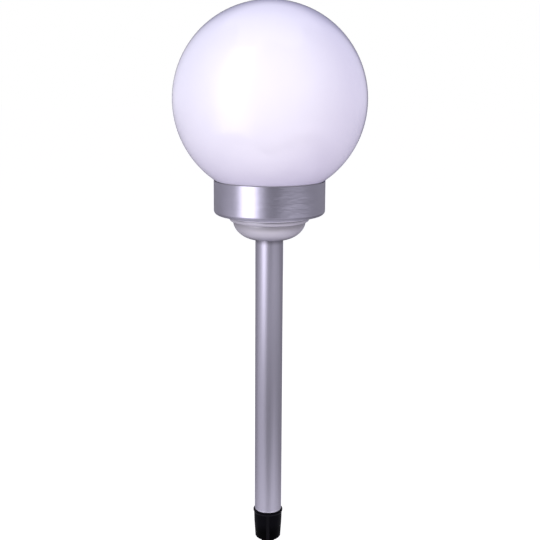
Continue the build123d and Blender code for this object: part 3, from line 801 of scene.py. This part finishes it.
# Painted highlight: the shoulder's pale tone.
SHOULDER_HIGHLIGHT_TONE = (0.86, 0.84, 0.89)
SHOULDER_HIGHLIGHT_DROP = 0.0016
# Painted shade: darker towards the mouth.
MOUTH_SHADE_TONE = (0.34, 0.33, 0.36)
MOUTH_SHADE_HEIGHT = 0.008
# Painted shade in the corner under the step.
CORNER_SHADE_TONE = (0.375, 0.36, 0.388)
CORNER_SHADE_HEIGHT = 0.0187
CORNER_SHADE_REACH = 0.008
# Painted shade in the groove under the band.
GROOVE_SHADE_TONE = (0.2, 0.19, 0.21)
GROOVE_DROP = 0.0018
GROOVE_SHADE_REACH = 0.0032


def silver_lacquer():
    """Flaked silver, then the painted highlight on the shoulder and painted shade at mouth, corner and
    groove.
    """
    material, tree, inputs = new_material(
        "silver_lacquer", Metallic=0.6, IOR=1.5, Specular_IOR_Level=0.3,
        Coat_Weight=0.8, Coat_Roughness=0.06,
    )
    clouds = place_group(tree, cloud, Scale=160.0)
    mouth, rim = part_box("pole_holder")[0].z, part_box("steel_band")[0].z
    ledge = rim - GROOVE_DROP
    shoulder = place_group(tree, height_mask, From=ledge, To=rim - SHOULDER_HIGHLIGHT_DROP)["Mask"]
    mouth_shade = place_group(tree, height_mask, From=mouth + MOUTH_SHADE_HEIGHT, To=mouth)["Mask"]
    corner = place_group(tree, crease, Ledge=mouth + CORNER_SHADE_HEIGHT, Reach=CORNER_SHADE_REACH)["Mask"]
    groove = place_group(tree, crease, Ledge=ledge, Reach=GROOVE_SHADE_REACH)["Mask"]
    colour = blend_colours(tree, clouds["Specks"], LACQUER_TONE, FLAKE_TONE)
    # Painted highlight on the shoulder, then painted shade at the mouth, in the corner and in the groove.
    colour = blend_colours(tree, shoulder, colour, SHOULDER_HIGHLIGHT_TONE)
    colour = blend_colours(tree, mouth_shade, colour, MOUTH_SHADE_TONE)
    colour = blend_colours(tree, corner, colour, CORNER_SHADE_TONE)
    feed(tree, inputs["Base Color"], blend_colours(tree, groove, colour, GROOVE_SHADE_TONE))
    feed(tree, inputs["Roughness"], spread(tree, clouds["Cloud"], *LACQUER_ROUGHNESS))
    bump(tree, inputs, place_group(tree, moulded_grain, Scale=2600.0)["Height"], FAINT_DEPTH)
    return material


finishes["silver_plastic"] = silver_lacquer()
print("finish:", finishes["silver_plastic"].name)

# %% [markdown]
# The spike, the switch and its slider are black moulded plastic with the mould's grain. The collar's four
# ribs and the slope under its lip are a little greyer as painted highlights, and painted shade darkens its
# foot. The blade below the soil line keeps its gloss, which a clear coat gives there, because a mask can
# drive a coat.

# %% Finish: black plastic
BLACK_DARK = (0.0026, 0.0025, 0.0036)
BLACK_LIGHT = (0.0038, 0.0036, 0.005)
BLACK_ROUGHNESS = (0.36, 0.48)
BLACK_GRAIN_DEPTH = 0.00003
# Painted shade: the collar's foot is a deeper black.
FOOT_SHADE_TONE = (0.0003, 0.0003, 0.0004)
FOOT_SHADE_DEEP = 0.008
FOOT_SHADE_CLEAR = 0.021
# Painted highlights: the ribs and the slope under the lip are greyer.
RIB_HIGHLIGHT_TONE = (0.0066, 0.0064, 0.0078)
RIB_WIDTH = 0.0034
RIB_TOP = 0.0294
SLOPE_HIGHLIGHT_TONE = (0.016, 0.0152, 0.019)
LIP_UNDERSIDE = 0.0313
BLADE_TONE = (0.01, 0.0098, 0.0115)
BLADE_FADE = 0.002
BLADE_COAT = 0.35


def rib_faces(tree):
    """1 on the ribs of the collar: above the soil, below the lip and near the X or the Y axis."""
    x, y, z = coordinates(tree)
    off_x, off_y = calculate(tree, "ABSOLUTE", x), calculate(tree, "ABSOLUTE", y)
    near = calculate(tree, "LESS_THAN", calculate(tree, "MINIMUM", off_x, off_y), RIB_WIDTH / 2)
    inside = calculate(tree, "MULTIPLY", calculate(tree, "GREATER_THAN", z, 0.0), near)
    return calculate(tree, "MULTIPLY", calculate(tree, "LESS_THAN", z, RIB_TOP), inside)


def black_plastic():
    """Clouded black, then painted shade at the foot, painted highlights on ribs and lip slope, then the
    blade.
    """
    material, tree, inputs = new_material(
        "black_plastic", IOR=1.5, Specular_IOR_Level=0.02, Coat_Roughness=0.3
    )
    clouds = place_group(tree, cloud, Scale=45.0)["Cloud"]
    clear = place_group(tree, height_mask, From=FOOT_SHADE_DEEP, To=FOOT_SHADE_CLEAR)["Mask"]
    slope = place_group(tree, crease, Ledge=LIP_UNDERSIDE, Reach=LIP_UNDERSIDE - RIB_TOP)["Mask"]
    blade = place_group(tree, height_mask, From=0.0, To=-BLADE_FADE)["Mask"]
    colour = blend_colours(tree, clouds, BLACK_DARK, BLACK_LIGHT)
    # Painted shade at the foot, then painted highlights on the ribs and under the lip.
    colour = blend_colours(tree, clear, FOOT_SHADE_TONE, colour)
    colour = blend_colours(tree, rib_faces(tree), colour, RIB_HIGHLIGHT_TONE)
    colour = blend_colours(tree, slope, colour, SLOPE_HIGHLIGHT_TONE)
    feed(tree, inputs["Base Color"], blend_colours(tree, blade, colour, BLADE_TONE))
    feed(tree, inputs["Coat Weight"], calculate(tree, "MULTIPLY", blade, BLADE_COAT))
    feed(tree, inputs["Roughness"], spread(tree, clouds, *BLACK_ROUGHNESS))
    bump(tree, inputs, place_group(tree, moulded_grain, Scale=1800.0)["Height"], BLACK_GRAIN_DEPTH)
    return material


finishes["black_plastic"] = black_plastic()
print("finish:", finishes["black_plastic"].name)

# %% [markdown]
# Plain mouldings, rubber and plated metal inside the lamp differ only in colour, gloss and grain, so one
# function makes the mouldings and another the metals, each from a short list of values.

# %% Finish: plain mouldings and plated metal
INNER_CLOUDS = 60.0
MOULDING_VARIES = 0.05
MOULDING_GRAIN_DEPTH = 0.00002
PLATE_LINES = 900.0
PLATE_VARIES = 0.06


def plain_moulding(name, dark, light, roughness, grain):
    """Clouded colour between two tones, a roughness that follows the clouds, and a moulded grain."""
    material, tree, inputs = new_material(name, IOR=1.5)
    clouds = place_group(tree, cloud, Scale=INNER_CLOUDS)["Cloud"]
    feed(tree, inputs["Base Color"], blend_colours(tree, clouds, dark, light))
    smoothest, roughest = roughness - MOULDING_VARIES, roughness + MOULDING_VARIES
    feed(tree, inputs["Roughness"], spread(tree, clouds, smoothest, roughest))
    bump(tree, inputs, place_group(tree, moulded_grain, Scale=grain)["Height"], MOULDING_GRAIN_DEPTH)
    return material


def plated_metal(name, dark, light, roughness):
    """Bright metal with fine lines, a tone that follows broad ones, and a roughness that varies."""
    material, tree, inputs = new_material(name, Metallic=1.0)
    lines = place_group(tree, brushed_lines, Across=PLATE_LINES, Up=PLATE_LINES)
    feed(tree, inputs["Base Color"], blend_colours(tree, lines["Broad"], dark, light))
    smoothest, roughest = roughness - PLATE_VARIES, roughness + PLATE_VARIES
    feed(tree, inputs["Roughness"], spread(tree, lines["Fine"], smoothest, roughest))
    bump(tree, inputs, lines["Fine"], FAINT_DEPTH)
    return material


plain_finishes = {
    "base_plastic": plain_moulding("base_moulding", (0.38, 0.38, 0.4), (0.45, 0.45, 0.47), 0.5, 1500.0),
    "tray_plastic": plain_moulding("tray_moulding", (0.8, 0.8, 0.81), (0.87, 0.87, 0.88), 0.4, 1800.0),
    "seal_rubber": plain_moulding("seal_rubber", (0.03, 0.03, 0.03), (0.06, 0.06, 0.06), 0.7, 2500.0),
    "panel_backing": plain_moulding("panel_backing", (0.7, 0.71, 0.71), (0.78, 0.79, 0.79), 0.5, 2000.0),
    "contact_metal": plated_metal("nickel_plate", (0.62, 0.61, 0.57), (0.74, 0.73, 0.69), 0.25),
    "screw_steel": plated_metal("zinc_plate", (0.55, 0.55, 0.57), (0.66, 0.66, 0.68), 0.32),
}
finishes.update(plain_finishes)
print("plain finishes:", len(plain_finishes))

# %% [markdown]
# Several inner pieces are made of two things: a solar cell has silver lines, a chip bright pins, a battery
# bare ends. On a bench they would be separate materials. Here each piece is one solid, so a mask worked out
# from the place on the piece tells the two apart, and even lines come from one more shared group.

# %% Shared effect: even lines


def lines_group():
    """Mask of even lines: 1 where a coordinate lies within half a width of a multiple of the spacing."""
    sockets = {"Place": 0.0, "Spacing": 0.002, "Width": 0.0002}
    group, inside, outside = new_group("even_lines", sockets, ["Mask"])
    steps = calculate(group, "DIVIDE", inside["Place"], inside["Spacing"])
    off_line = calculate(group, "SUBTRACT", steps, calculate(group, "ROUND", steps))
    distance = calculate(group, "MULTIPLY", calculate(group, "ABSOLUTE", off_line), inside["Spacing"])
    half_width = calculate(group, "MULTIPLY", inside["Width"], 0.5)
    feed(group, outside["Mask"], calculate(group, "LESS_THAN", distance, half_width))
    return group


even_lines = lines_group()
print("group:", even_lines.name)

# %% [markdown]
# The solar cells are dark blue silicon with printed silver: fine fingers across each strip, and one bar
# along its middle that collects from them. The circuit board carries copper tracks under green lacquer.
# They run round the ring, so they are even lines of the radius, broken up by noise.

# %% Masks for the solar cells and the circuit board
STRIP_COUNT = 4
STRIP_GAP = 0.0006
FINGER_SPACING = 0.0022
FINGER_WIDTH = 0.00018
BAR_WIDTH = 0.0012
TRACK_SPACING = 0.0016
TRACK_WIDTH = 0.0007
TRACK_CLOUDS = 90.0
TRACK_LEVEL = 0.48

cells_low, cells_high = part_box("solar_cells")
strip_pitch = (cells_high.x - cells_low.x + STRIP_GAP) / STRIP_COUNT


def distance_from(tree, x, y):
    """Distance of the place on the piece from an upright line through x and y."""
    flat = add_node(tree, "VectorMath", {0: object_point(tree), 1: (1, 1, 0)}, operation="MULTIPLY")
    sockets = {0: flat.outputs[0], 1: (x, y, 0)}
    return add_node(tree, "VectorMath", sockets, operation="DISTANCE").outputs["Value"]


def cell_silver(tree):
    """Fingers at even steps of Y, and a bar along the middle of each strip."""
    x, y = coordinates(tree)[:2]
    fingers = place_group(tree, even_lines, Place=y, Spacing=FINGER_SPACING, Width=FINGER_WIDTH)
    across = calculate(tree, "ADD", x, strip_pitch / 2)
    bars = place_group(tree, even_lines, Place=across, Spacing=strip_pitch, Width=BAR_WIDTH)
    return calculate(tree, "MAXIMUM", fingers["Mask"], bars["Mask"])


def board_tracks(tree):
    """Rings at even steps of the radius, kept where a slow noise is high."""
    radius = distance_from(tree, 0, 0)
    tracks = place_group(tree, even_lines, Place=radius, Spacing=TRACK_SPACING, Width=TRACK_WIDTH)
    clouds = place_group(tree, cloud, Scale=TRACK_CLOUDS)["Cloud"]
    kept = calculate(tree, "GREATER_THAN", clouds, TRACK_LEVEL)
    return calculate(tree, "MULTIPLY", tracks["Mask"], kept)


print("pitch of the solar strips:", round(strip_pitch, 4))

# %% [markdown]
# The driver chip's pins stand out on both sides of its body. The coil's copper lies between its two
# flanges. The battery's sleeve leaves its ends bare, each lamp has a yellow phosphor spot in its middle,
# and one wire of the pair is red and the other black.

# %% Masks for the small parts
CHIP_BODY_WIDTH = 0.004
COIL_FLANGE = 0.001
SLEEVE_END = 0.0016
LED_COUNT = 4
PHOSPHOR_RADIUS = 0.0013


def chip_pins(tree):
    """1 further from the chip's middle than half its body, measured outwards from the pole's axis."""
    low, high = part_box("driver_chip")
    middle = (low + high) / 2
    middle.z = 0
    sockets = {0: object_point(tree), 1: middle.normalized()}
    outwards = add_node(tree, "VectorMath", sockets, operation="DOT_PRODUCT").outputs["Value"]
    from_middle = calculate(tree, "ABSOLUTE", calculate(tree, "SUBTRACT", outwards, middle.length))
    return calculate(tree, "GREATER_THAN", from_middle, CHIP_BODY_WIDTH / 2)


def coil_wire(tree):
    """1 between the two flanges of the bobbin."""
    low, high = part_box("inductor_coil")
    height = coordinates(tree)[2]
    above = calculate(tree, "GREATER_THAN", height, low.z + COIL_FLANGE)
    below = calculate(tree, "LESS_THAN", height, high.z - COIL_FLANGE)
    return calculate(tree, "MULTIPLY", above, below)


def battery_ends(tree):
    """1 within a short way of both ends of the cell."""
    from_middle = calculate(tree, "ABSOLUTE", coordinates(tree)[0])
    return calculate(tree, "GREATER_THAN", from_middle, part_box("battery")[1].x - SLEEVE_END)


def led_axis(number):
    """X and Y of a lamp's upright axis: the middle of its box."""
    low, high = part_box(f"led_{number}")
    return (low.x + high.x) / 2, (low.y + high.y) / 2


def lamp_phosphor(tree):
    """1 where the smallest of the distances from the lamps' axes is less than the spot's radius."""
    nearest, *others = (distance_from(tree, x, y) for x, y in led_axes)
    for distance in others:
        nearest = calculate(tree, "MINIMUM", distance, nearest)
    return calculate(tree, "LESS_THAN", nearest, PHOSPHOR_RADIUS)


def red_wire(tree):
    """1 on the wire at +X."""
    return calculate(tree, "GREATER_THAN", coordinates(tree)[0], 0.0)


led_axes = [led_axis(number) for number in range(1, LED_COUNT + 1)]
print("lamp axes:", np.round(led_axes, 4).tolist())

# %% [markdown]
# One function then mixes two finishes by such a mask: a clouded ground, and an inlay with its own colour and
# gloss. Each row gives the ground's two tones, and its roughness before the inlay's. Where the inlay is
# metal, the mask drives that too, and elsewhere the shader keeps its plain value.

# %% Finish: inlaid pieces
INLAID_GRAIN = 3000.0
NICKEL = (0.68, 0.67, 0.63)


def inlaid(name, mask_of, dark, light, inlay, roughness, metal=0.0):
    """Clouded ground between two tones, with an inlay where the mask is 1; roughness is for both."""
    material, tree, inputs = new_material(name, IOR=1.5)
    clouds = place_group(tree, cloud, Scale=INNER_CLOUDS)["Cloud"]
    mask = mask_of(tree)
    ground = blend_colours(tree, clouds, dark, light)
    feed(tree, inputs["Base Color"], blend_colours(tree, mask, ground, inlay))
    if metal:
        feed(tree, inputs["Metallic"], calculate(tree, "MULTIPLY", mask, metal))
    feed(tree, inputs["Roughness"], spread(tree, mask, *roughness))
    bump(tree, inputs, place_group(tree, moulded_grain, Scale=INLAID_GRAIN)["Height"], FAINT_DEPTH)
    return material


inlaid_finishes = {
    "circuit_green": inlaid(
        "circuit_lacquer", board_tracks, (0.02, 0.16, 0.07), (0.03, 0.2, 0.09),
        inlay=(0.1, 0.34, 0.14), roughness=(0.32, 0.28),
    ),
    "chip_black": inlaid(
        "chip_moulding", chip_pins, (0.02, 0.02, 0.02), (0.04, 0.04, 0.04),
        inlay=NICKEL, roughness=(0.5, 0.25), metal=1.0,
    ),
    "coil_copper": inlaid(
        "coil_wire", coil_wire, (0.05, 0.05, 0.055), (0.08, 0.08, 0.085),
        inlay=(0.58, 0.27, 0.12), roughness=(0.6, 0.28), metal=1.0,
    ),
    "led_clear": inlaid(
        "lamp_epoxy", lamp_phosphor, (0.88, 0.89, 0.88), (0.94, 0.94, 0.92),
        inlay=(0.9, 0.72, 0.16), roughness=(0.08, 0.12),
    ),
    "silicon_blue": inlaid(
        "silicon", cell_silver, (0.012, 0.026, 0.09), (0.024, 0.05, 0.16),
        inlay=(0.6, 0.6, 0.61), roughness=(0.2, 0.35), metal=0.9,
    ),
    "battery_can": inlaid(
        "battery_sleeve", battery_ends, (0.08, 0.32, 0.17), (0.11, 0.37, 0.21),
        inlay=NICKEL, roughness=(0.3, 0.25), metal=1.0,
    ),
    "lead_red": inlaid(
        "lead_sleeve", red_wire, (0.015, 0.015, 0.015), (0.025, 0.025, 0.025),
        inlay=(0.45, 0.03, 0.03), roughness=(0.4, 0.38),
    ),
}
finishes.update(inlaid_finishes)
print("inlaid finishes:", len(inlaid_finishes))

# %% [markdown]
# The resin over the cells is the one clear piece. It is cast in place, so it is faintly uneven on top, and
# the same clouds drive its tint, gloss and height.

# %% Finish: clear resin
RESIN_DEEP = (0.93, 0.95, 0.98)
RESIN_PALE = (0.97, 0.98, 1.0)
RESIN_ROUGHNESS = (0.04, 0.1)
RESIN_WAVE_DEPTH = 0.0001


def clear_resin():
    """Clear, nearly colourless layer whose tint, roughness and height follow slow clouds."""
    material, tree, inputs = new_material("clear_resin", IOR=1.5, Transmission_Weight=1.0)
    clouds = place_group(tree, cloud, Scale=80.0)["Cloud"]
    feed(tree, inputs["Base Color"], blend_colours(tree, clouds, RESIN_DEEP, RESIN_PALE))
    feed(tree, inputs["Roughness"], spread(tree, clouds, *RESIN_ROUGHNESS))
    bump(tree, inputs, clouds, RESIN_WAVE_DEPTH)
    return material


finishes["clear_resin"] = clear_resin()
print("finish:", finishes["clear_resin"].name)

# %% [markdown]
# The record says which finish each piece takes. One loop hands them out, so no piece can be forgotten: a
# name without a finish would stop the script.

# %% Assign the finishes
for row in frame["record"]["subparts"]:
    mesh = nodes[row["node"]].data
    mesh.materials.clear()
    mesh.materials.append(finishes[row["material_slot"]])
